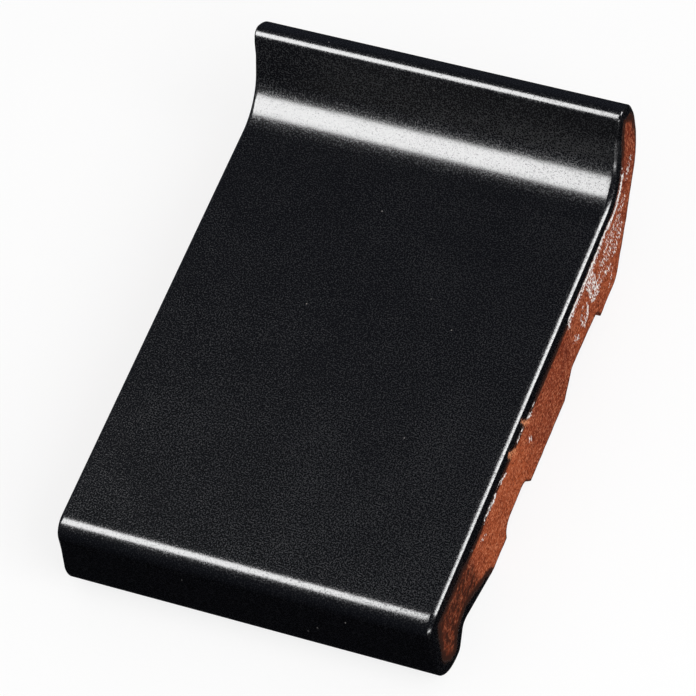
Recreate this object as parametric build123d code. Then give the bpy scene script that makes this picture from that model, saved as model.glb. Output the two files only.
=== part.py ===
from build123d import *
from math import atan2, cos, degrees, radians, sin, tan
import os

# Glazed sill tile: one extruded and fired piece of red clay. It has a flat, glazed top, a
# square nose along the front, and at the back a cove that sweeps up into a low upstand.
# Three shallow grooves across the underside give the mortar bed its grip.
# Frame: +X along the sill, +Y from the nose to the upstand, +Z up. The origin is the middle
# of the bounding box, on the plane that the tile lies on. Sizes are in mm and degrees.

# Driving dimensions
width = 105.0
depth = 160.0
top_height = 30.0
upstand_rise = 21.3
arris_radius = 1.5

# Nose: its face leans forward towards the bottom, and a short flat is left under it between
# the big round at the front and the small round into the first groove
nose_lean = 4.1
nose_top_radius = 5.5
nose_bottom_radius = 11.6
nose_flat = 0.3
toe_radius = 2.8

# Upstand: its front leans back above the cove. The lip has a small round in front and a big
# round behind, which meet over a short flat that falls towards the back.
upstand_lean = 21.4
cove_radius = 13.3
lip_fall = 29.4
lip_front_radius = 2.5
lip_flat = 0.3
lip_back_radius = 12.2

# Heel: the slope under the upstand, from the back face down to the bed. Its corner on the
# back face lies a little lower than the tile's top.
heel_run = 26.6
heel_drop = 2.0
heel_back_radius = 23.3
heel_bed_radius = 6.0

# Lands that the tile lies on: between the front two grooves, and before the heel. The wide
# land between the middle and the back groove takes up what the depth leaves.
front_land = 10.0
heel_land = 12.8

# Bedding grooves: each has a sloping front wall, a ceiling and a sloping back wall. A "run"
# is how far a wall or ceiling goes from front to back, a "depth" is above the bed.
front_groove = {
    "front_run": 4.4,
    "ceiling_run": 2.1,
    "back_run": 18.7,
    "front_depth": 5.9,
    "back_depth": 5.7,
    "ceiling_radius": 2.2,
}
middle_groove = {
    "front_run": 0.8,
    "ceiling_run": 13.5,
    "back_run": 3.6,
    "front_depth": 4.7,
    "back_depth": 5.3,
    "ceiling_radius": 3.6,
}
back_groove = {
    "front_run": 7.6,
    "ceiling_run": 18.8,
    "back_run": 1.6,
    "front_depth": 5.4,
    "back_depth": 4.3,
    "ceiling_radius": 3.0,
}


def round_reach(radius, turn):
    """How far from its corner a round begins, where the outline turns by that angle."""
    return radius * tan(radians(turn) / 2)


def groove_width(groove):
    """How far the groove's mouth is across, from front to back."""
    return groove["front_run"] + groove["ceiling_run"] + groove["back_run"]


def groove_corners(groove, front, front_mouth_radius=0.0):
    """One groove of the underside from back to front, as (y, z, radius) corners."""
    ceiling_front = front + groove["front_run"]
    ceiling_back = ceiling_front + groove["ceiling_run"]
    return [
        (front + groove_width(groove), 0.0, 0.0),
        (ceiling_back, groove["back_depth"], groove["ceiling_radius"]),
        (ceiling_front, groove["front_depth"], groove["ceiling_radius"]),
        (front, 0.0, front_mouth_radius),
    ]


def nose_corners():
    """The nose's toe and top. Its bottom round just reaches the front of the tile."""
    toe = nose_bottom_radius - round_reach(nose_bottom_radius, 90 + nose_lean)
    top = toe + top_height * tan(radians(nose_lean))
    return [
        (toe, 0.0, nose_bottom_radius),
        (top, top_height, nose_top_radius),
    ]


def upstand_corners():
    """The cove, the lip and the heel. The crown of the lip just reaches the tile's height."""
    climb = 90 - upstand_lean
    turn = climb + lip_fall
    corner_over_crown = lip_front_radius * (cos(radians(climb - lip_fall) / 2) / cos(radians(turn) / 2) - 1)
    lip_rise = upstand_rise + corner_over_crown
    lip_run = round_reach(lip_front_radius, turn) + lip_flat + round_reach(lip_back_radius, 90 - lip_fall)
    lip_front = depth - lip_run * cos(radians(lip_fall))
    lip_back_rise = lip_rise - lip_run * sin(radians(lip_fall))
    foot = lip_front - lip_rise * tan(radians(upstand_lean))
    return [
        (foot, top_height, cove_radius),
        (lip_front, top_height + lip_rise, lip_front_radius),
        (depth, top_height + lip_back_rise, lip_back_radius),
        (depth, top_height - heel_drop, heel_back_radius),
        (depth - heel_run, 0.0, heel_bed_radius),
    ]


def underside_corners():
    """The three grooves from back to front, between the lands that the tile lies on."""
    toe_turn = degrees(atan2(front_groove["front_depth"], front_groove["front_run"]))
    front_groove_front = nose_bottom_radius + nose_flat + round_reach(toe_radius, toe_turn)
    middle_groove_front = front_groove_front + groove_width(front_groove) + front_land
    back_groove_front = depth - heel_run - heel_land - groove_width(back_groove)
    return [
        *groove_corners(back_groove, back_groove_front),
        *groove_corners(middle_groove, middle_groove_front),
        *groove_corners(front_groove, front_groove_front, toe_radius),
    ]


def make_section():
    """The section as a closed face seen from the side, with every round a true arc."""
    corners = nose_corners() + upstand_corners() + underside_corners()
    points = [(y, z) for y, z, radius in corners]
    radii = [radius for y, z, radius in corners]
    with BuildSketch(Plane.YZ) as sketch:
        with BuildLine():
            FilletPolyline(*points, radius=radii, close=True)
        make_face()
    return sketch.sketch


def make_sill_tile():
    """The section extruded across the width, with its glazed arrises rounded."""
    body = extrude(make_section(), amount=width / 2, both=True)
    grooves = (front_groove, middle_groove, back_groove)
    groove_height = max(groove["front_depth"] for groove in grooves)
    end_edges = body.faces().filter_by(Axis.X).edges()
    arrises = [edge for edge in end_edges if edge.center().Z > groove_height]
    body = fillet(arrises, arris_radius)
    return Pos(0, -depth / 2, 0) * body


os.makedirs("parts", exist_ok=True)
sill_tile = make_sill_tile()
box = sill_tile.bounding_box()
print("sill tile", box.size, "from", box.min)
export_step(sill_tile, "parts/sill_tile.step")
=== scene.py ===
import math

import bmesh
import bpy
import numpy as np
from mathutils import Matrix, Vector, noise
from mathutils.geometry import delaunay_2d_cdt


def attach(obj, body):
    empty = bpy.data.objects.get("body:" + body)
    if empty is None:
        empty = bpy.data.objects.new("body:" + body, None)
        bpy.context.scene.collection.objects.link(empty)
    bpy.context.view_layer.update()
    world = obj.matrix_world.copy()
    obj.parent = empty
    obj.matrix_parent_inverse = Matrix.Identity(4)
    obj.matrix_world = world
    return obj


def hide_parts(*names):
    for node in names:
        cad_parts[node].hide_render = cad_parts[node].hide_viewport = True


# Looks of the glazed sill tile, in metres, in the frame of the CAD part: +X along the sill,
# +Y from the nose to the upstand, +Z up. The tile's surface is one dense mesh that is made
# anew from the section of the CAD node, so that the clay's grain, the chips and the edge of
# the glaze are real shape. Everything on it is pushed inwards, so it stays in the CAD box.

MM = 0.001

# How far apart the mesh's points are, and how far the surface may turn between two of them
OUTLINE_STEP = 1.0 * MM
OUTLINE_TURN = math.radians(4.5)
WIDTH_STEP = 1.0 * MM
ARRIS_TURN = math.radians(10)

# The end faces' grid: its step, as shares of the step how uneven it is and how near the
# outline it comes, the seed of its unevenness, and how near two of its points may be
CAP_STEP = 0.8 * MM
CAP_JITTER = 0.2
CAP_MARGIN = 0.6
CAP_SEED = 11
CAP_TOLERANCE = 1e-9

# The outline: which turns count as sharp corners, the small worn round in each of them, the
# least turn that counts as a curve, and how near two places are the same
SHARP_TURN = math.radians(15)
WORN_CORNER = 0.5 * MM
LEAST_CURVE = 1e-4
MERGE = 1e-6

# The arris is never sharper than this, and its radius rises no faster than this slope. At each
# height in mm a share of the CAD's round is left, so that the lip and the toe are crisp.
WORN_ARRIS = 0.4 * MM
ARRIS_SLOPE = 0.5
ARRIS_SHARES = ((12, 0.4), (20, 1.0), (44, 1.0), (48, 0.4))

# Across the arris the surface turns in stretches: the angle in degrees that each one ends at,
# and how wide its curve is beside the others
ARRIS_STRETCHES = ((20, 0.7), (26, 2.0), (46, 2.9), (90, 1.1))

# Where the glaze ends on the back and the underside, its edge wanders this far in such waves
EDGE_WANDER = 1.8 * MM
EDGE_WAVE = 16 * MM

# The glaze reaches round each end of the tile, from the front groove over the nose, the top
# and the lip to the back. Each entry is a place on the section and how wide the glazed band
# on the end face is there, all in mm.
GLAZE_BANDS = (
    ((-42, 1), 0.0),
    ((-44.5, 1.5), 1.0),
    ((-47, 2), 2.4),
    ((-51, 3), 2.8),
    ((-55, 5), 3.8),
    ((-59, 6), 4.4),
    ((-63, 4), 4.0),
    ((-67, 1), 3.4),
    ((-70, 0), 3.0),
    ((-77, 4), 3.8),
    ((-80, 13), 4.0),
    ((-79, 27), 4.6),
    ((-70, 30), 5.5),
    ((-57, 30), 5.5),
    ((-51, 30), 6.3),
    ((-44, 30), 6.5),
    ((-40, 30), 5.5),
    ((-20, 30), 5.1),
    ((-8, 30), 5.5),
    ((0, 30), 5.9),
    ((21, 30), 5.9),
    ((24, 30), 5.0),
    ((44, 30), 4.8),
    ((52, 30), 4.2),
    ((57, 31), 4.7),
    ((62, 35), 3.5),
    ((67, 43), 2.2),
    ((70, 49), 3.2),
    ((72, 51), 6.0),
    ((78, 46), 2.4),
    ((80, 40), 1.2),
    ((80, 33), 0.4),
    ((79, 29), 0.0),
)

# Bites out of the glaze band on the right end, from one (y, z) to another, and their radius
CHIPS = (
    ((-21.6, 25.9), (-20.4, 23.4), 1.0),
    ((-19.6, 23.6), (-17.6, 21.2), 0.8),
    ((-12.2, 27.8), (-11.2, 25.6), 0.5),
    ((-11.2, 25.2), (-8.6, 21.4), 0.8),
)

# Streaks in the band on the right end where the glaze is thin, and their half width
THIN_RUNS = (
    ((-73, 25.2), (-56, 25.9), 0.3),
    ((-72, 27.2), (-62, 27.4), 0.2),
    ((-75.6, 8), (-75.2, 22), 0.3),
    ((-2, 25.4), (16, 25.2), 0.3),
)

# Pale scuffs on the right end, from one (y, z) to another: their half width, how dense
SCUFFS = (
    ((22.8, 24.0), (38, 24.0), 0.9, 0.95),
    ((38, 24.1), (50, 24.5), 0.9, 0.95),
    ((50, 24.8), (57, 24.2), 0.8, 1.05),
    ((57, 24.0), (61, 24.9), 0.7, 1.05),
    ((61, 25.0), (64, 27.0), 0.8, 1.05),
    ((64, 27.4), (66.8, 29.8), 0.8, 1.05),
    ((66.4, 31), (67, 33.5), 0.5, 0.6),
    ((22.7, 20.5), (22.9, 24), 0.5, 0.90),
    ((24, 22.6), (36, 22.8), 0.8, 0.6),
    ((36, 22.4), (42, 22.6), 1.2, 0.70),
    ((37, 20.5), (38, 12.5), 1.1, 0.75),
    ((39.8, 21), (41.3, 12), 1.3, 0.75),
    ((38.5, 12), (42, 10.5), 1.2, 0.5),
    ((43, 22.6), (55, 23.2), 0.8, 0.45),
    ((34.4, 15.5), (34.2, 11.5), 0.6, 0.9),
    ((34, 11), (31.2, 9.8), 0.7, 0.85),
    ((30.6, 10.6), (29.4, 13.8), 0.6, 0.75),
    ((29.6, 14.4), (32, 16.8), 0.6, 0.6),
    ((32, 13), (33, 12), 0.8, 0.55),
    ((24, 13.4), (26.4, 10.8), 1.0, 0.6),
    ((47.5, 11), (50.6, 9.6), 1.2, 0.6),
    ((47, 15), (50, 18.5), 1.6, 0.55),
    ((50.5, 14), (55, 16.6), 1.4, 0.58),
    ((55, 11.6), (60.6, 14.6), 1.7, 0.54),
    ((52, 19.6), (60, 18.6), 2.0, 0.5),
    ((61, 20.5), (65, 21.5), 1.4, 0.42),
    ((44, 12), (46, 18), 1.4, 0.45),
    ((69, 26.5), (72.5, 29.5), 1.2, 0.5),
    ((49, 4), (52, 6.5), 0.9, 0.45),
    ((-40.8, 23.7), (-36.5, 23.6), 0.8, 0.85),
    ((-36, 22.9), (-32.6, 23.0), 0.9, 0.90),
    ((-30, 24.2), (-28, 22.8), 0.7, 0.8),
    ((-27.6, 23.0), (-25.5, 22.2), 0.6, 0.85),
    ((-53.6, 25.3), (-52.2, 25.0), 0.4, 1.0),
    ((-51.4, 24.6), (-49.6, 24.0), 0.5, 0.85),
    ((-47.2, 25.3), (-46.2, 24.7), 0.3, 0.8),
    ((-16, 23.8), (-12.6, 23.8), 0.7, 0.85),
    ((-8.3, 24), (-6.8, 22.6), 0.8, 0.90),
    ((-5.6, 23.9), (-3.2, 23.4), 0.5, 0.8),
    ((-9.9, 16.6), (-9, 13.6), 0.5, 0.9),
    ((-44.6, 19.2), (-42, 17.8), 0.7, 0.4),
)

# How warm and bright the clay of the ends is along Y, in mm
CLAY_TONES = (
    (-80, 0.1),
    (-54, 0.4),
    (-46, 0.8),
    (-16, 0.95),
    (-4, 0.4),
    (20, 0.2),
    (28, 0.6),
    (56, 0.7),
    (66, 0.1),
    (80, 0.0),
)

# The marks of an end face start this far from the middle, and are full this much further out.
# A normal that leans at least this much along X belongs to an end face.
END_START = 49.5 * MM
END_FADE = 2 * MM
END_NORMAL = 0.7

# Up to this far from a chip the glaze ends where the chip starts, but only where the marks of
# the end face are fuller than this. The chip's hollow reaches this many times its radius.
CHIP_BORDER = 1.5 * MM
CHIP_MARK = 0.4
CHIP_HOLLOW = 1.4

# From which share of its half width a scuff or a thin run fades, and where it is gone
SCUFF_FADE = (0.9, 1.4)
THIN_FADE = (1.0, 2.0)

# Pale flecks lie in patches on the left end, this far below the edge of the glaze: how wide
# their run is, the size of the patches, how sharply those end, the gap between them, and how
# dense the flecks are
FLECK_OFFSET = 0.8 * MM
FLECK_WIDTH = 1.2 * MM
FLECK_PATCH = 13 * MM
FLECK_CONTRAST = 3
FLECK_GAP = 0.4
FLECK_DENSITY = 0.7

# Smoke darkens the nose's ends in front of this Y, which leans with the height: all in mm,
# with how soon it is full on the right and on the left end
SMOKE_EDGE = -49.5
SMOKE_HEIGHT = 14
SMOKE_LEAN = 0.15
SMOKE_FADES = (2.5, 9.0)

# The brown stain beside the glaze: its width by height, how softly it ends, and behind the
# given Y its strength by height. Painted shade darkens a rim along the bare edges of the ends.
STAIN_WIDTHS = ((30, 2.8), (38, 3.8), (46, 3.0))
STAIN_SOFTNESS = 0.6
STAIN_BACK = 22.4
STAIN_STRENGTHS = ((29, 0.6), (34, 0.7), (40, 0.9))
EDGE_SHADE_WIDTH = 1.5 * MM
EDGE_SHADE = 0.85

# Rougher glaze with a painted glow, paler in colour: just over the cove by height and across
# the width, and on the top
COVE_SPAN = (50, 70)
COVE_GLOW = ((35, 0.0), (38, 1.0), (40, 1.0), (46, 0.0))
COVE_GLOW_ACROSS = ((-15, 0.0), (50, 1.1))
TOP_GLOW_ABOVE = 29
TOP_GLOW_ACROSS = ((-10, 0.0), (50, 0.3))

# Relief in mm: how deep each kind is and how wide its waves are, how far bare clay lies under
# the glaze and over what width it drops, and the chips' depth
WARP = (0.03, 34)
GRAIN = (0.05, 3.2)
DRAG = (0.05, 1.6)
CUT = (0.03, 2.0)
CLAY_STEP = 0.03
CLAY_STEP_WIDTH = 0.8
CHIP_DEPTH = 0.5

# Marks of dragging are drawn out along X, and those of cutting along Y, which lean a little
DRAG_STRETCH = 0.03
CUT_STRETCH = 0.35
CUT_LEAN = 0.1


def unit(vector):
    return vector / np.linalg.norm(vector)


def by_table(values, table):
    """What a table of (value, result) pairs gives for each value, straight between its rows."""
    return np.interp(values, *np.transpose(table))


def read_section(node):
    """The section's corners from one end of the node's edges that cross the middle of the
    width: an array of (y, z, arris), anticlockwise with +Y to the right and +Z up."""
    mesh = bmesh.new()
    mesh.from_mesh(node.data)
    bmesh.ops.remove_doubles(mesh, verts=mesh.verts, dist=MERGE)

    def crosses(edge):
        return (edge.verts[0].co.x > 0) != (edge.verts[1].co.x > 0)

    half_width = max(vert.co.x for vert in mesh.verts)
    first = next(edge for edge in mesh.edges if crosses(edge))
    edge, face, corners = first, first.link_faces[0], []
    while not corners or edge is not first:
        end = max(edge.verts, key=lambda vert: vert.co.x).co
        corner = (end.y, end.z, half_width - end.x)
        if not corners or math.dist(corner, corners[-1]) > MERGE:
            corners.append(corner)
        edge = next(other for other in face.edges if other is not edge and crosses(other))
        face = next(other for other in edge.link_faces if other is not face)
    mesh.free()
    if math.dist(corners[0], corners[-1]) < MERGE:
        corners.pop()
    corners = np.array(corners)
    y, z = corners[:, 0], corners[:, 1]
    if np.sum(y * np.roll(z, -1) - np.roll(y, -1) * z) < 0:
        corners = corners[::-1]
    return corners, half_width


def turn_between(before, after):
    """The angle from one direction to another in the section, anticlockwise."""
    cross = before[0] * after[1] - before[1] * after[0]
    return math.atan2(cross, before @ after)


def curved_segments(corners):
    """The outline as [start, end, turn, arris] segments that meet smoothly, where turn is how
    far the arc from start to end curves. The arcs are worked out again from their chords: at
    each corner between two chords the outline turns by half of what each of them curves."""
    count = len(corners)
    points = corners[:, :2]
    ways = np.roll(points, -1, 0) - points
    turns = [turn_between(ways[i - 1], ways[i]) for i in range(count)]
    sharp = [i for i in range(count) if abs(turns[i]) > SHARP_TURN]
    segments = []
    for index, start in enumerate(sharp):
        stop = sharp[(index + 1) % len(sharp)]
        run = [(start + k) % count for k in range((stop - start) % count)]
        rows, wanted = [], []
        for k in range(1, len(run)):
            row = np.zeros(len(run))
            row[k - 1] = row[k] = 0.5
            rows.append(row)
            wanted.append(turns[run[k]])
        for k in (0, -1):
            row = np.zeros(len(run))
            row[k] = 1.0
            rows.append(row)
            wanted.append(0.0)
        curves = np.linalg.lstsq(np.array(rows), np.array(wanted), rcond=None)[0]
        for k, i in enumerate(run):
            arris = (corners[i, 2], corners[(i + 1) % count, 2])
            segments.append([points[i].copy(), points[(i + 1) % count].copy(), curves[k], arris])
    return round_corners(segments)


def round_corners(segments):
    """Puts a small worn round into each sharp corner of the outline."""
    rounded = []
    for index, (start, end, curve, arris) in enumerate(segments):
        following = segments[(index + 1) % len(segments)]
        rounded.append(segments[index])
        way, onward = unit(end - start), unit(following[1] - following[0])
        turn = turn_between(way, onward)
        if abs(turn) > SHARP_TURN:
            reach = WORN_CORNER * math.tan(abs(turn) / 2)
            segments[index][1] = end - way * reach
            following[0] = following[0] + onward * reach
            rounded.append([segments[index][1], following[0], turn, (0.0, 0.0)])
    return rounded


def sample_outline(segments):
    """Evenly spaced (y, z), outward normals, arris radii and lengths along the outline."""
    places, normals, arrises = [], [], []
    for start, end, curve, arris in segments:
        chord = end - start
        length = np.linalg.norm(chord)
        steps = max(1, math.ceil(length / OUTLINE_STEP), math.ceil(abs(curve) / OUTLINE_TURN))
        along = chord / length
        across = np.array((-along[1], along[0]))
        for k in range(steps):
            share = k / steps
            bend = curve * (share - 0.5)
            if abs(curve) > LEAST_CURVE:
                radius = length / (2 * math.sin(curve / 2))
                ahead = radius * (math.sin(bend) + math.sin(curve / 2))
                aside = radius * (math.cos(curve / 2) - math.cos(bend))
            else:
                ahead, aside = share * length, 0.0
            way = along * math.cos(bend) + across * math.sin(bend)
            places.append(start + along * ahead + across * aside)
            normals.append((way[1], -way[0]))
            arrises.append(arris[0] + (arris[1] - arris[0]) * share)
    places = np.array(places)
    steps = np.linalg.norm(np.roll(places, -1, 0) - places, axis=1)
    lengths = np.concatenate(([0.0], np.cumsum(steps)))
    return places, np.array(normals), np.array(arrises), lengths


def taper(values, lengths, slope):
    """Values round the closed outline, held down so that they never rise faster than slope."""
    gaps = np.abs(lengths[:-1, None] - lengths[None, :-1])
    gaps = np.minimum(gaps, lengths[-1] - gaps)
    return (values[None, :] + slope * gaps).min(1)


def band_widths(places, lengths):
    """How wide the glaze band on the ends is at each outline sample, below 0 on bare clay, and
    how far the sample is inside the glazed run."""
    stations = []
    for (y, z), width in GLAZE_BANDS:
        nearest = np.argmin(np.hypot(places[:, 0] - y * MM, places[:, 1] - z * MM))
        stations.append((lengths[nearest], width * MM))
    first = stations[0][0]
    total = lengths[-1]
    # The band runs against the outline's order, so it is measured back from its front end
    along = np.array([(first - length) % total for length, width in stations])
    widths = np.array([width for length, width in stations])
    here = (first - lengths[:-1]) % total
    found = np.interp(here, along, widths)
    beyond = here > along[-1]
    gap = np.minimum(here - along[-1], total - here)
    margins = np.minimum(here, along[-1] - here)
    return np.where(beyond, -gap, found), np.where(beyond, -gap, margins)


def fractal(point, size, octaves):
    """Smooth noise from about -1 to 1, whose largest waves are that size."""
    return noise.fractal(Vector(point) / size, 1.0, 2.0, octaves, noise_basis="PERLIN_ORIGINAL")


def waves(point, size):
    """Plain smooth noise from about -1 to 1, whose waves are that size."""
    return noise.noise(Vector(point) / size)


class Surface:
    """The tile's vertices and faces. Each vertex has its normal, its reach, which is how far it
    is inside the edge of the glaze, and its rim, which is how far it is from the edge of an end
    face."""

    def __init__(self):
        self.places = []
        self.normals = []
        self.reaches = []
        self.rims = []
        self.faces = []

    def add(self, place, normal, reach, rim):
        self.places.append(place)
        self.normals.append(normal)
        self.reaches.append(reach)
        self.rims.append(rim)
        return len(self.places) - 1


def distance_to_run(points, start, end):
    """How far each (y, z) is from the line between two places."""
    start, end = np.array(start) * MM, np.array(end) * MM
    way = end - start
    share = np.clip((points - start) @ way / (way @ way), 0.0, 1.0)
    return np.linalg.norm(points - start - share[:, None] * way, axis=1)


def cap_points(boundary):
    """Points inside one end face, on a slightly uneven grid."""
    draw = np.random.default_rng(CAP_SEED)
    low, high = boundary.min(0), boundary.max(0)
    grid = np.mgrid[low[0]:high[0]:CAP_STEP, low[1]:high[1]:CAP_STEP].reshape(2, -1).T
    grid = grid + draw.uniform(-CAP_JITTER, CAP_JITTER, grid.shape) * CAP_STEP
    following = np.roll(boundary, -1, 0)
    inside = np.zeros(len(grid), bool)
    nearest = np.full(len(grid), 1.0)
    for start, end in zip(boundary, following):
        span = (start[1] > grid[:, 1]) != (end[1] > grid[:, 1])
        rise = end[1] - start[1] if end[1] != start[1] else 1.0
        meets = start[0] + (grid[:, 1] - start[1]) / rise * (end[0] - start[0])
        inside ^= span & (grid[:, 0] < meets)
        nearest = np.minimum(nearest, np.linalg.norm(grid - start, axis=1))
    return grid[inside & (nearest > CAP_MARGIN * CAP_STEP)]


def arris_profile():
    """The arris from beside the top to the end face: for each step its tilt, how far out it is
    and how far down, both as shares of the arris."""
    steps, tilt, run, drop = [], 0.0, 0.0, 0.0
    for angle, width in ARRIS_STRETCHES:
        turn = math.radians(angle) - tilt
        count = math.ceil(turn / ARRIS_TURN)
        for k in range(count):
            after = tilt + turn / count
            run += width * (math.sin(after) - math.sin(tilt))
            drop += width * (math.cos(tilt) - math.cos(after))
            tilt = after
            steps.append((tilt, run, drop))
    return [(tilt, across / run, down / drop) for tilt, across, down in steps]


def build_surface(corners, half_width):
    """The whole surface before its relief: the swept section with rounded arrises, and the
    two end faces."""
    places, normals, arrises, lengths = sample_outline(curved_segments(corners))
    kept = by_table(places[:, 1] / MM, ARRIS_SHARES)
    arrises = np.maximum(taper(arrises, lengths, ARRIS_SLOPE) * kept, WORN_ARRIS)
    bands, margins = band_widths(places, lengths)
    surface = Surface()
    # Each column has its side if it is on an arris, its share of the flat width, and its bend
    columns = []
    across = round((half_width - arrises.max()) * 2 / WIDTH_STEP)
    flat = np.linspace(-1.0, 1.0, across + 1)
    profile = arris_profile()
    for bend in reversed(profile):
        columns.append((-1, 1.0, bend))
    for share in flat:
        columns.append((0, share, (0.0, 0.0, 0.0)))
    for bend in profile:
        columns.append((1, 1.0, bend))
    index = np.zeros((len(places), len(columns)), int)
    rows = zip(places, normals, arrises, bands, margins)
    for row, (place, normal, arris, band, margin) in enumerate(rows):
        for column, (side, share, (tilt, run, drop)) in enumerate(columns):
            if side:
                x = side * (half_width - arris + arris * run)
                inset = arris * drop
                way = (side * math.sin(tilt), *(normal * math.cos(tilt)))
                reach = band - inset
            else:
                x = share * (half_width - arris)
                inset, way = 0.0, (0.0, *normal)
                # The edge's waves die out towards the arrises, where the band takes over
                wander = EDGE_WANDER * waves((x, *place), EDGE_WAVE)
                reach = margin + wander * (1 - share**4)
            yz = place - normal * inset
            index[row, column] = surface.add((x, *yz), way, reach, half_width - abs(x))
    for row in range(len(places)):
        after = (row + 1) % len(places)
        for column in range(len(columns) - 1):
            a, b = index[row, column], index[row, column + 1]
            c, d = index[after, column + 1], index[after, column]
            surface.faces.append((a, d, c, b))
    add_caps(surface, index, places, bands, half_width)
    return surface


def add_caps(surface, index, places, bands, half_width):
    """The two flat end faces, filled with small triangles."""
    ring = np.array([surface.places[i][1:] for i in index[:, -1]])
    inner = cap_points(ring)
    gaps = np.linalg.norm(inner[:, None] - places[None], axis=2)
    nearest = gaps.argmin(1)
    rims = gaps[np.arange(len(inner)), nearest]
    points = [Vector(p) for p in np.vstack((ring, inner))]
    count = len(ring)
    border = [(i, (i + 1) % count) for i in range(count)]
    found = delaunay_2d_cdt(points, border, [], 1, CAP_TOLERANCE)
    triangles, origins = found[2], found[3]
    for side, column in ((-1, 0), (1, -1)):
        numbers = list(index[:, column])
        for yz, band, rim in zip(inner, bands[nearest], rims):
            numbers.append(surface.add((side * half_width, *yz), (side, 0.0, 0.0), band - rim, rim))
        for triangle in triangles:
            corner = [numbers[origins[i][0]] for i in triangle]
            surface.faces.append(corner if side > 0 else corner[::-1])


def run_share(yz, run, fade):
    """How strongly a run covers each (y, z). It is 1 up to the first share of the run's half
    width that fade gives, and 0 beyond the second."""
    start, end, radius = run
    full, gone = fade
    away = distance_to_run(yz, start, end) / (radius * MM)
    return np.clip((gone - away) / (gone - full), 0.0, 1.0)


def marks(places, reaches, rims):
    """What the material and the relief need to know of each vertex: how far the glaze reaches,
    how deep a chip is, the clay's scuffs, fresh breaks, smoke, stain with painted shade along the
    bare edges, and warmth, and where the glaze is thin or is rougher with a painted glow on it."""
    x, yz = places[:, 0], places[:, 1:]
    right = np.clip((x - END_START) / END_FADE, 0.0, 1.0)
    left = np.clip((-x - END_START) / END_FADE, 0.0, 1.0)
    ends = np.maximum(right, left)
    y, z = yz[:, 0] / MM, yz[:, 1] / MM

    chips = np.zeros(len(places))
    for start, end, radius in CHIPS:
        gap = distance_to_run(yz, start, end)
        bite = gap - radius * MM
        bitten = (right > CHIP_MARK) & (bite < CHIP_BORDER)
        reaches = np.where(bitten, np.minimum(reaches, bite), reaches)
        hollow = np.clip(1.0 - gap / (radius * CHIP_HOLLOW * MM), 0.0, 1.0)
        chips = np.maximum(chips, right * hollow)

    scuff = np.zeros(len(places))
    for *run, dense in SCUFFS:
        scuff = np.maximum(scuff, dense * run_share(yz, run, SCUFF_FADE) * right)
    under_glaze = np.clip(1.0 - np.abs(reaches + FLECK_OFFSET) / FLECK_WIDTH, 0.0, 1.0)
    patches = np.array([waves(place, FLECK_PATCH) for place in places])
    patches = np.clip(FLECK_CONTRAST * patches - FLECK_GAP, 0.0, FLECK_DENSITY)
    scuff = np.maximum(scuff, left * under_glaze * patches)

    smoke = SMOKE_EDGE - y - SMOKE_LEAN * (z - SMOKE_HEIGHT)
    smoke = ends * np.clip(smoke / np.where(x > 0, *SMOKE_FADES), 0.0, 1.0)

    wide = by_table(z, STAIN_WIDTHS) * MM
    strength = np.where(y < STAIN_BACK, 1.0, by_table(z, STAIN_STRENGTHS))
    stain_and_edge_shade = np.clip((reaches + wide) / (STAIN_SOFTNESS * wide), 0.0, 1.0) * strength
    # Painted shade: the clay is darkened along the bare edges of the end faces
    edge_shade = ends * np.clip(1.0 - rims / EDGE_SHADE_WIDTH, 0.0, 1.0) * EDGE_SHADE

    thin = np.zeros(len(places))
    for run in THIN_RUNS:
        thin = np.maximum(thin, right * run_share(yz, run, THIN_FADE))

    # Painted glow: the glaze is made rougher and a little paler just over the cove and on the top,
    # more towards the right end
    cove = (y > COVE_SPAN[0]) & (y < COVE_SPAN[1])
    haze_and_glow = by_table(z, COVE_GLOW) * by_table(x / MM, COVE_GLOW_ACROSS)
    top_glow = np.where(z > TOP_GLOW_ABOVE, by_table(x / MM, TOP_GLOW_ACROSS), 0.0)
    values = {
        "scuff": scuff,
        "fresh": chips,
        "smoke": smoke,
        "warmth": by_table(y, CLAY_TONES),
        "thin": thin,
        "glow_and_roughness": np.where(cove, haze_and_glow, top_glow),
        # The brown stain and the painted shade along the bare edges are carried together
        "stain_and_edge_shade": np.maximum(stain_and_edge_shade, edge_shade),
    }
    return reaches, chips, values


def ripple(place, form, octaves=0):
    """Relief from 0 to about twice its depth in mm: plain waves, or rougher with octaves."""
    depth, size = form
    height = fractal(place, size * MM, octaves) if octaves else waves(place, size * MM)
    return depth * (1 + height)


def relief(place, normal, reach, chip):
    """How far a vertex is pushed in: a slight warp everywhere, and where the clay is bare its
    grain, with drag marks along the sill or across an end face."""
    push = ripple(place, WARP)
    bare = min(1.0, max(0.0, 0.5 - reach / (CLAY_STEP_WIDTH * MM)))
    if bare > 0:
        push += bare * (CLAY_STEP + ripple(place, GRAIN, 3))
        if abs(normal[0]) < END_NORMAL:
            drawn = (place[0] * DRAG_STRETCH, place[1], place[2])
            push += bare * ripple(drawn, DRAG)
        else:
            sliced = (place[0], place[1] * CUT_STRETCH + place[2] * CUT_LEAN, place[2])
            push += bare * ripple(sliced, CUT)
    return (push + chip * CHIP_DEPTH) * MM


def make_tile(node):
    """The tile's mesh object, with the values that its material reads on each vertex."""
    corners, half_width = read_section(node)
    surface = build_surface(corners, half_width)
    places = np.array(surface.places)
    normals = np.array(surface.normals)
    reaches, chips, values = marks(places, np.array(surface.reaches), np.array(surface.rims))
    values["glaze_reach"] = reaches / MM
    pushed = [
        Vector(place) - Vector(normal) * relief(place, normal, reach, chip)
        for place, normal, reach, chip in zip(places, normals, reaches, chips)
    ]
    mesh = bpy.data.meshes.new("sill_tile_glazed")
    mesh.from_pydata(pushed, [], surface.faces)
    mesh.update()
    for name, value in values.items():
        attribute = mesh.attributes.new(name, "FLOAT", "POINT")
        attribute.data.foreach_set("value", value.astype(np.float32))
    mesh.shade_smooth()
    tile = bpy.data.objects.new("sill_tile_glazed", mesh)
    bpy.context.scene.collection.objects.link(tile)
    return tile


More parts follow.
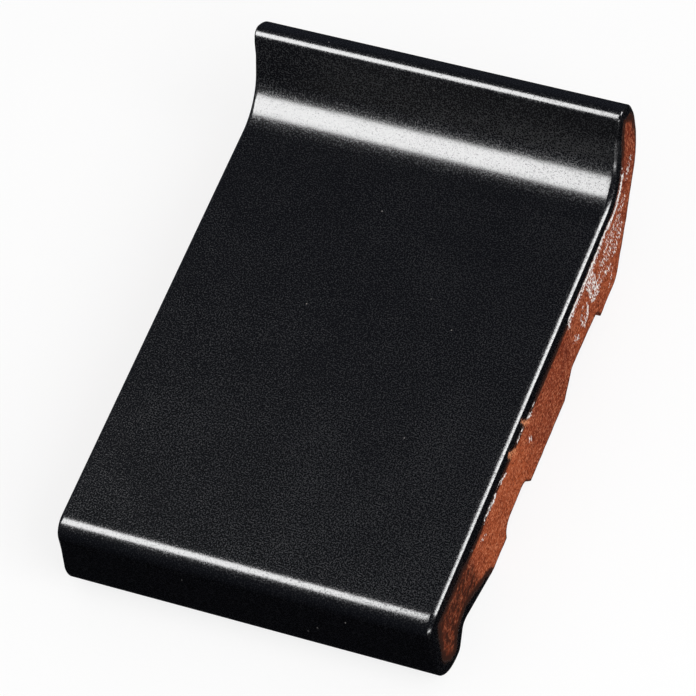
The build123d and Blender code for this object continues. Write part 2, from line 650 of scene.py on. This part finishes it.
class Nodes:
    """Short ways to add shader nodes to one material."""

    def __init__(self, tree):
        self.tree = tree
        tree.nodes.clear()

    def add(self, kind, values=(), **settings):
        node = self.tree.nodes.new(kind)
        for name, value in settings.items():
            setattr(node, name, value)
        for socket, value in dict(values).items():
            self.plug(value, node.inputs[socket])
        return node

    def plug(self, value, socket):
        if isinstance(value, bpy.types.NodeSocket):
            self.tree.links.new(value, socket)
        else:
            socket.default_value = value

    def math(self, operation, first, second=0.0, third=0.0, clamp=False):
        node = self.add("ShaderNodeMath", operation=operation, use_clamp=clamp)
        for socket, value in zip(node.inputs, (first, second, third)):
            self.plug(value, socket)
        return node.outputs[0]

    def attribute(self, name):
        return self.add("ShaderNodeAttribute", attribute_name=name).outputs["Fac"]

    def noise(self, place, scale, detail=2.0, roughness=0.5):
        values = {"Vector": place, "Scale": scale, "Detail": detail, "Roughness": roughness}
        return self.add("ShaderNodeTexNoise", values).outputs["Fac"]

    def spots(self, place, scale, channel=1):
        """How far each place is from its spot, and a random number for each spot."""
        node = self.add("ShaderNodeTexVoronoi", {"Vector": place, "Scale": scale})
        channels = self.add("ShaderNodeSeparateXYZ", {0: node.outputs["Color"]}).outputs
        return node.outputs["Distance"], channels[channel]

    def ramp(self, value, low, high, start=0.0, end=1.0):
        values = {"Value": value, "From Min": low, "From Max": high, "To Min": start, "To Max": end}
        return self.add("ShaderNodeMapRange", values).outputs[0]

    def mix(self, share, first, second):
        node = self.add("ShaderNodeMix", data_type="RGBA")
        self.plug(share, node.inputs["Factor"])
        for name, colour in (("A", first), ("B", second)):
            socket = next(s for s in node.inputs if s.name == name and s.type == "RGBA")
            if not isinstance(colour, bpy.types.NodeSocket):
                colour = (*colour, 1.0)
            self.plug(colour, socket)
        return next(s for s in node.outputs if s.type == "RGBA")

    def blend(self, share, first, second):
        node = self.add("ShaderNodeMix", data_type="FLOAT")
        for socket, value in zip((0, 2, 3), (share, first, second)):
            self.plug(value, node.inputs[socket])
        return node.outputs[0]


def new_material(name):
    material = bpy.data.materials.new(name)
    material.use_nodes = True
    return material, Nodes(material.node_tree)


# Linear colours of the glaze, the clay and the marks on it
GLAZE_DARK = (0.0002, 0.0002, 0.0004)
GLAZE_PALE = (0.0012, 0.0014, 0.0030)
THIN_GLAZE = (0.024, 0.009, 0.005)
CLAY_RED = (0.175, 0.027, 0.011)
CLAY_WARM = (0.36, 0.074, 0.025)
CLAY_LIGHT = (0.66, 0.25, 0.13)
CLAY_DARK = (0.060, 0.010, 0.005)
CLAY_FRESH = (0.66, 0.25, 0.12)
SMOKED = (0.040, 0.011, 0.006)
# Brown of the stain, also used as painted shade along the bare edges
STAIN_AND_SHADE_BROWN = (0.032, 0.011, 0.007)
SCUFFED = (0.94, 0.89, 0.86)

# Roughness and shine of both surfaces: the glaze's from its smoothest to its roughest grain
GLAZE_ROUGHNESS = (0.20, 0.60)
CLAY_ROUGHNESS = 0.95
GLAZE_SHINE = 0.5
CLAY_SHINE = 0.02
REFRACTION = 1.5


def clay_finish(nodes, place, streaked):
    """The bare clay's colour and height: red to warm orange with grog and pits, with painted shade
    in the pits, smoke at the nose, a brown stain beside the glaze and painted shade along the bare
    edges, fresh breaks and pale scuffs."""
    mottle = nodes.math("MULTIPLY_ADD", nodes.noise(place, 0.14, 4.0, 0.65), 1.6, -0.8)
    tone = nodes.math("ADD", nodes.attribute("warmth"), mottle, clamp=True)
    clay = nodes.mix(tone, CLAY_RED, CLAY_WARM)
    grain = nodes.noise(place, 1.5, 4.0, 0.7)
    clay = nodes.mix(nodes.ramp(grain, 0.52, 0.66, 0.0, 0.8), clay, CLAY_LIGHT)
    clay = nodes.mix(nodes.ramp(grain, 0.48, 0.36, 0.0, 0.9), clay, CLAY_DARK)
    # Painted shade: the pits are darkened as well as sunk in the bump
    pit, pit_pick = nodes.spots(place, 1.2)
    deep = nodes.ramp(pit_pick, 0.45, 0.55)
    pit = nodes.math("MULTIPLY", deep, nodes.ramp(pit, 0.32, 0.16))
    clay = nodes.mix(nodes.math("MULTIPLY", pit, 0.8), clay, CLAY_DARK)

    smudge = nodes.math("MULTIPLY_ADD", nodes.noise(place, 0.5, 5.0, 0.75), 4.0, -2.0)
    smudge = nodes.math("ADD", smudge, 0.72, clamp=True)
    clay = nodes.mix(nodes.math("MULTIPLY", nodes.attribute("smoke"), smudge), clay, SMOKED)
    # The brown stain, and painted shade along the bare edges, darken the clay here
    stain_and_edge_shade = nodes.attribute("stain_and_edge_shade")
    spread = nodes.math("MULTIPLY_ADD", nodes.noise(streaked, 1.2, 4.0, 0.7), 2.0, -1.0)
    spread = nodes.math("ADD", spread, -0.35)
    stain_and_shade_share = nodes.math("MULTIPLY_ADD", stain_and_edge_shade, 1.6, spread, clamp=True)
    stain_and_shade_share = nodes.math("MULTIPLY", stain_and_shade_share, nodes.ramp(stain_and_edge_shade, 0.0, 0.3))
    clay = nodes.mix(stain_and_shade_share, clay, STAIN_AND_SHADE_BROWN)

    broken = nodes.ramp(grain, 0.42, 0.56, 0.0, 1.6)
    fresh = nodes.math("MULTIPLY", nodes.attribute("fresh"), broken, clamp=True)
    clay = nodes.mix(fresh, clay, CLAY_FRESH)
    scuff = nodes.attribute("scuff")
    flecks = nodes.math("MULTIPLY_ADD", scuff, 0.24, nodes.noise(streaked, 2.6, 3.0, 0.55))
    flecks = nodes.ramp(flecks, 0.675, 0.70)
    flecks = nodes.math("MULTIPLY", flecks, nodes.ramp(scuff, 0.02, 0.2))
    clay = nodes.mix(flecks, clay, SCUFFED)

    height = nodes.math("MULTIPLY", grain, 0.26)
    height = nodes.math("MULTIPLY_ADD", pit, -0.12, height)
    height = nodes.math("MULTIPLY_ADD", flecks, 0.06, height)
    return clay, height


def glaze_finish(nodes, place, thick):
    """The glaze's colour, roughness and height: fine grains that are paler and less smooth than the
    rest, slow haze, a painted glow that makes it paler and rougher over the cove and the top, rare
    specks, and a brown tinge where it is thin."""
    fine = nodes.noise(place, 2.6, 2.0, 0.6)
    haze_and_glow = nodes.math("MULTIPLY_ADD", nodes.noise(place, 0.05, 4.0, 0.6), 0.10, -0.05)
    # The painted glow over the cove and the top raises both paleness and roughness
    haze_and_glow = nodes.math("MULTIPLY_ADD", nodes.attribute("glow_and_roughness"), 0.09, haze_and_glow)
    rough = nodes.math("ADD", fine, haze_and_glow)
    glaze = nodes.mix(nodes.ramp(rough, 0.40, 0.66), GLAZE_DARK, GLAZE_PALE)
    glaze = nodes.mix(thick, THIN_GLAZE, glaze)
    speck, speck_pick = nodes.spots(place, 0.35, 0)
    rare = nodes.ramp(speck_pick, 0.94, 0.96)
    rare = nodes.math("MULTIPLY", rare, nodes.ramp(speck, 0.08, 0.04))
    glaze = nodes.mix(nodes.math("MULTIPLY", rare, 0.35), glaze, SCUFFED)
    roughness = nodes.ramp(rough, 0.50, 0.80, *GLAZE_ROUGHNESS)

    peel = nodes.math("MULTIPLY", nodes.noise(place, 0.30, 2.0), 0.030)
    height = nodes.math("MULTIPLY_ADD", fine, 0.012, peel)
    height = nodes.math("MULTIPLY_ADD", thick, 0.10, nodes.math("ADD", height, 0.14))
    return glaze, roughness, height


def glazed_clay():
    """Black satin glaze that ends in a ragged edge on rough red clay. All noise is laid out in
    mm, and heights are in mm too."""
    material, nodes = new_material("glazed_clay")
    coords = nodes.add("ShaderNodeTexCoord").outputs["Object"]
    scaled = {0: coords, "Scale": 1 / MM}
    place = nodes.add("ShaderNodeVectorMath", scaled, operation="SCALE").outputs[0]
    upright = {"Vector": place, "Scale": (1.0, 0.9, 0.3)}
    streaked = nodes.add("ShaderNodeMapping", upright).outputs[0]

    ragged = nodes.math("MULTIPLY_ADD", nodes.noise(place, 0.5, 3.0), 1.6, -0.8)
    frayed = nodes.math("MULTIPLY_ADD", nodes.noise(streaked, 2.2, 5.0, 0.75), 2.6, -1.3)
    reach = nodes.math("ADD", nodes.attribute("glaze_reach"), nodes.math("ADD", ragged, frayed))
    glazed = nodes.ramp(reach, -0.06, 0.08)
    gaps = nodes.math("MULTIPLY", nodes.attribute("thin"), nodes.noise(place, 0.9, 3.0))
    solid = nodes.math("SUBTRACT", 1.0, gaps)
    thick = nodes.math("MULTIPLY", nodes.ramp(reach, 0.0, 0.8), solid)

    clay, clay_height = clay_finish(nodes, place, streaked)
    glaze, gloss, glaze_height = glaze_finish(nodes, place, thick)
    height = nodes.blend(glazed, clay_height, glaze_height)
    bump = nodes.add("ShaderNodeBump", {"Strength": 1.0, "Distance": MM, "Height": height})
    shader = nodes.add(
        "ShaderNodeBsdfPrincipled",
        {
            "Base Color": nodes.mix(glazed, clay, glaze),
            "Roughness": nodes.blend(glazed, CLAY_ROUGHNESS, gloss),
            "Specular IOR Level": nodes.blend(glazed, CLAY_SHINE, GLAZE_SHINE),
            "IOR": REFRACTION,
            "Normal": bump.outputs[0],
        },
    )
    nodes.add("ShaderNodeOutputMaterial", {"Surface": shader.outputs[0]})
    return material


# The floor: its size, its colour, and how much of it is plain white that takes no shadow
FLOOR_SIZE = 8.0
FLOOR_COLOUR = (0.96, 0.96, 0.96)
FLOOR_GLOW = 0.80


def make_floor():
    """A plain pale floor that shows only to the camera, and only from above."""
    half = FLOOR_SIZE / 2
    mesh = bpy.data.meshes.new("floor")
    corners = [(-half, -half, 0), (half, -half, 0), (half, half, 0), (-half, half, 0)]
    mesh.from_pydata(corners, [], [(0, 1, 2, 3)])
    floor = bpy.data.objects.new("floor", mesh)
    bpy.context.scene.collection.objects.link(floor)
    material, nodes = new_material("floor")
    paper = nodes.add("ShaderNodeBsdfDiffuse", {"Color": (*FLOOR_COLOUR, 1.0)}).outputs[0]
    glow = nodes.add("ShaderNodeEmission", {"Color": (1, 1, 1, 1), "Strength": 1.0}).outputs[0]
    clear = nodes.add("ShaderNodeBsdfTransparent").outputs[0]
    lit = nodes.add("ShaderNodeMixShader", {0: FLOOR_GLOW, 1: paper, 2: glow}).outputs[0]
    below = nodes.add("ShaderNodeNewGeometry").outputs["Backfacing"]
    shown = nodes.add("ShaderNodeMixShader", {0: below, 1: lit, 2: clear}).outputs[0]
    nodes.add("ShaderNodeOutputMaterial", {"Surface": shown})
    mesh.materials.append(material)
    floor.visible_glossy = False
    floor.visible_diffuse = False
    floor.visible_shadow = False


# The room as matt surfaces and as gloss see it. What gloss sees gets darker downwards, between
# two heights of the direction that it looks in.
WORLD_FILL = 0.60
ROOM_ABOVE = 0.085
ROOM_BELOW = 0.005
ROOM_FADE = (-0.7, 0.2)
ROOM_TINT = (0.86, 0.97, 1.32)
WHITE = (1.0, 1.0, 1.0)


def make_world():
    """White to the camera, a plain fill on matt surfaces, and to gloss a dim room that gets
    darker towards the ground."""
    world = bpy.data.worlds.new("studio")
    bpy.context.scene.world = world
    world.use_nodes = True
    nodes = Nodes(world.node_tree)
    way = nodes.add("ShaderNodeTexCoord").outputs["Generated"]
    up = nodes.add("ShaderNodeSeparateXYZ", {0: way}).outputs[2]
    room = nodes.ramp(up, *ROOM_FADE, ROOM_BELOW, ROOM_ABOVE)
    path = nodes.add("ShaderNodeLightPath").outputs
    strength = nodes.blend(path["Is Glossy Ray"], WORLD_FILL, room)
    strength = nodes.blend(path["Is Camera Ray"], strength, 1.0)
    tint = nodes.mix(path["Is Glossy Ray"], WHITE, ROOM_TINT)
    shader = nodes.add("ShaderNodeBackground", {"Color": tint, "Strength": strength})
    nodes.add("ShaderNodeOutputWorld", {"Surface": shader.outputs[0]})


def aim(place, target):
    """The turn that makes a lamp at one place shine on another."""
    back = (Vector(place) - Vector(target)).normalized()
    side = Vector((0, 0, 1)).cross(back).normalized()
    up = back.cross(side)
    return Matrix((side, up, back)).transposed().to_euler()


def add_panel(name, place, target, size, radiance, gloss_only):
    """A rectangular lamp with that much light from each point of it. It lights either only
    the gloss or only the matt surfaces."""
    data = bpy.data.lights.new(name, "AREA")
    data.shape = "RECTANGLE"
    data.size, data.size_y = size
    data.energy = radiance * math.pi * size[0] * size[1]
    lamp = bpy.data.objects.new(name, data)
    lamp.location = place
    lamp.rotation_euler = aim(place, target)
    lamp.visible_camera = False
    lamp.visible_diffuse = not gloss_only
    lamp.visible_glossy = gloss_only
    lamp.visible_transmission = False
    bpy.context.scene.collection.objects.link(lamp)


# The softbox that the nose, the cove and the lip mirror: its lower and upper edge as (y, z),
# and its ends along X
FRONT_PANEL_EDGES = ((-0.1452, 0.1604), (-0.0515, 0.5450))
FRONT_PANEL_ENDS = (-0.90, 0.0)
PANEL_LIGHT = 21.5

# The other lamps: name, place, what they look at, size, light and whether only gloss sees
# them. The right arris mirrors the side panel, and the right corners the low one.
KEY_LIGHT = 4.5
KEY = ("key", (1.2, -0.5, 1.2), (0, 0, 0), (1.2, 1.2), KEY_LIGHT, False)
SIDE_PANEL = ("side_panel", (0.80, 0.44, 0.25), (0, 0, 0.03), (0.42, 0.56), PANEL_LIGHT, True)
LOW_PANEL = ("low_panel", (0.64, -0.77, -0.02), (0.05, 0, 0.03), (0.5, 0.14), PANEL_LIGHT, True)


def make_lights():
    add_panel(*KEY)
    low, high = (Vector((0, *edge)) for edge in FRONT_PANEL_EDGES)
    left, right = FRONT_PANEL_ENDS
    middle = (low + high) / 2 + Vector(((left + right) / 2, 0, 0))
    facing = (high - low).cross(Vector((1, 0, 0)))
    size = (right - left, (high - low).length)
    add_panel("front_panel", middle, middle + facing, size, PANEL_LIGHT, True)
    add_panel(*SIDE_PANEL)
    add_panel(*LOW_PANEL)


# Camera: the photograph's place and lens, for a square picture
LENS = 267.828
SENSOR = 36.0
CAMERA_PLACE = (0.42036, -0.64871, 1.14806)
CAMERA_TURN = (33.6673, 7.9445, 21.3326)
CAMERA_SHIFT = (-0.00050, 0.00038)


def make_camera():
    data = bpy.data.cameras.new("camera")
    data.lens = LENS
    data.sensor_width = SENSOR
    data.shift_x, data.shift_y = CAMERA_SHIFT
    camera = bpy.data.objects.new("camera", data)
    camera.location = CAMERA_PLACE
    camera.rotation_euler = [math.radians(angle) for angle in CAMERA_TURN]
    bpy.context.scene.collection.objects.link(camera)
    bpy.context.scene.camera = camera


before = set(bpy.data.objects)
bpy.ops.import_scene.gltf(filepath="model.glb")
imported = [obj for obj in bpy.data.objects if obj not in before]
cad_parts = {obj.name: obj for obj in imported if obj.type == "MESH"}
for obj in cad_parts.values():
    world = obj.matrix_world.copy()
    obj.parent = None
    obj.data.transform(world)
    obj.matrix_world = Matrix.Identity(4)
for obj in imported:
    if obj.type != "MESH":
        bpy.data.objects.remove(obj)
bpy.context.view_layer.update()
tile = make_tile(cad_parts["sill_tile"])
tile.data.materials.append(glazed_clay())
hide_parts("sill_tile")
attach(tile, "root")
make_floor()
make_world()
make_lights()
make_camera()
bpy.context.scene.view_settings.view_transform = "Standard"
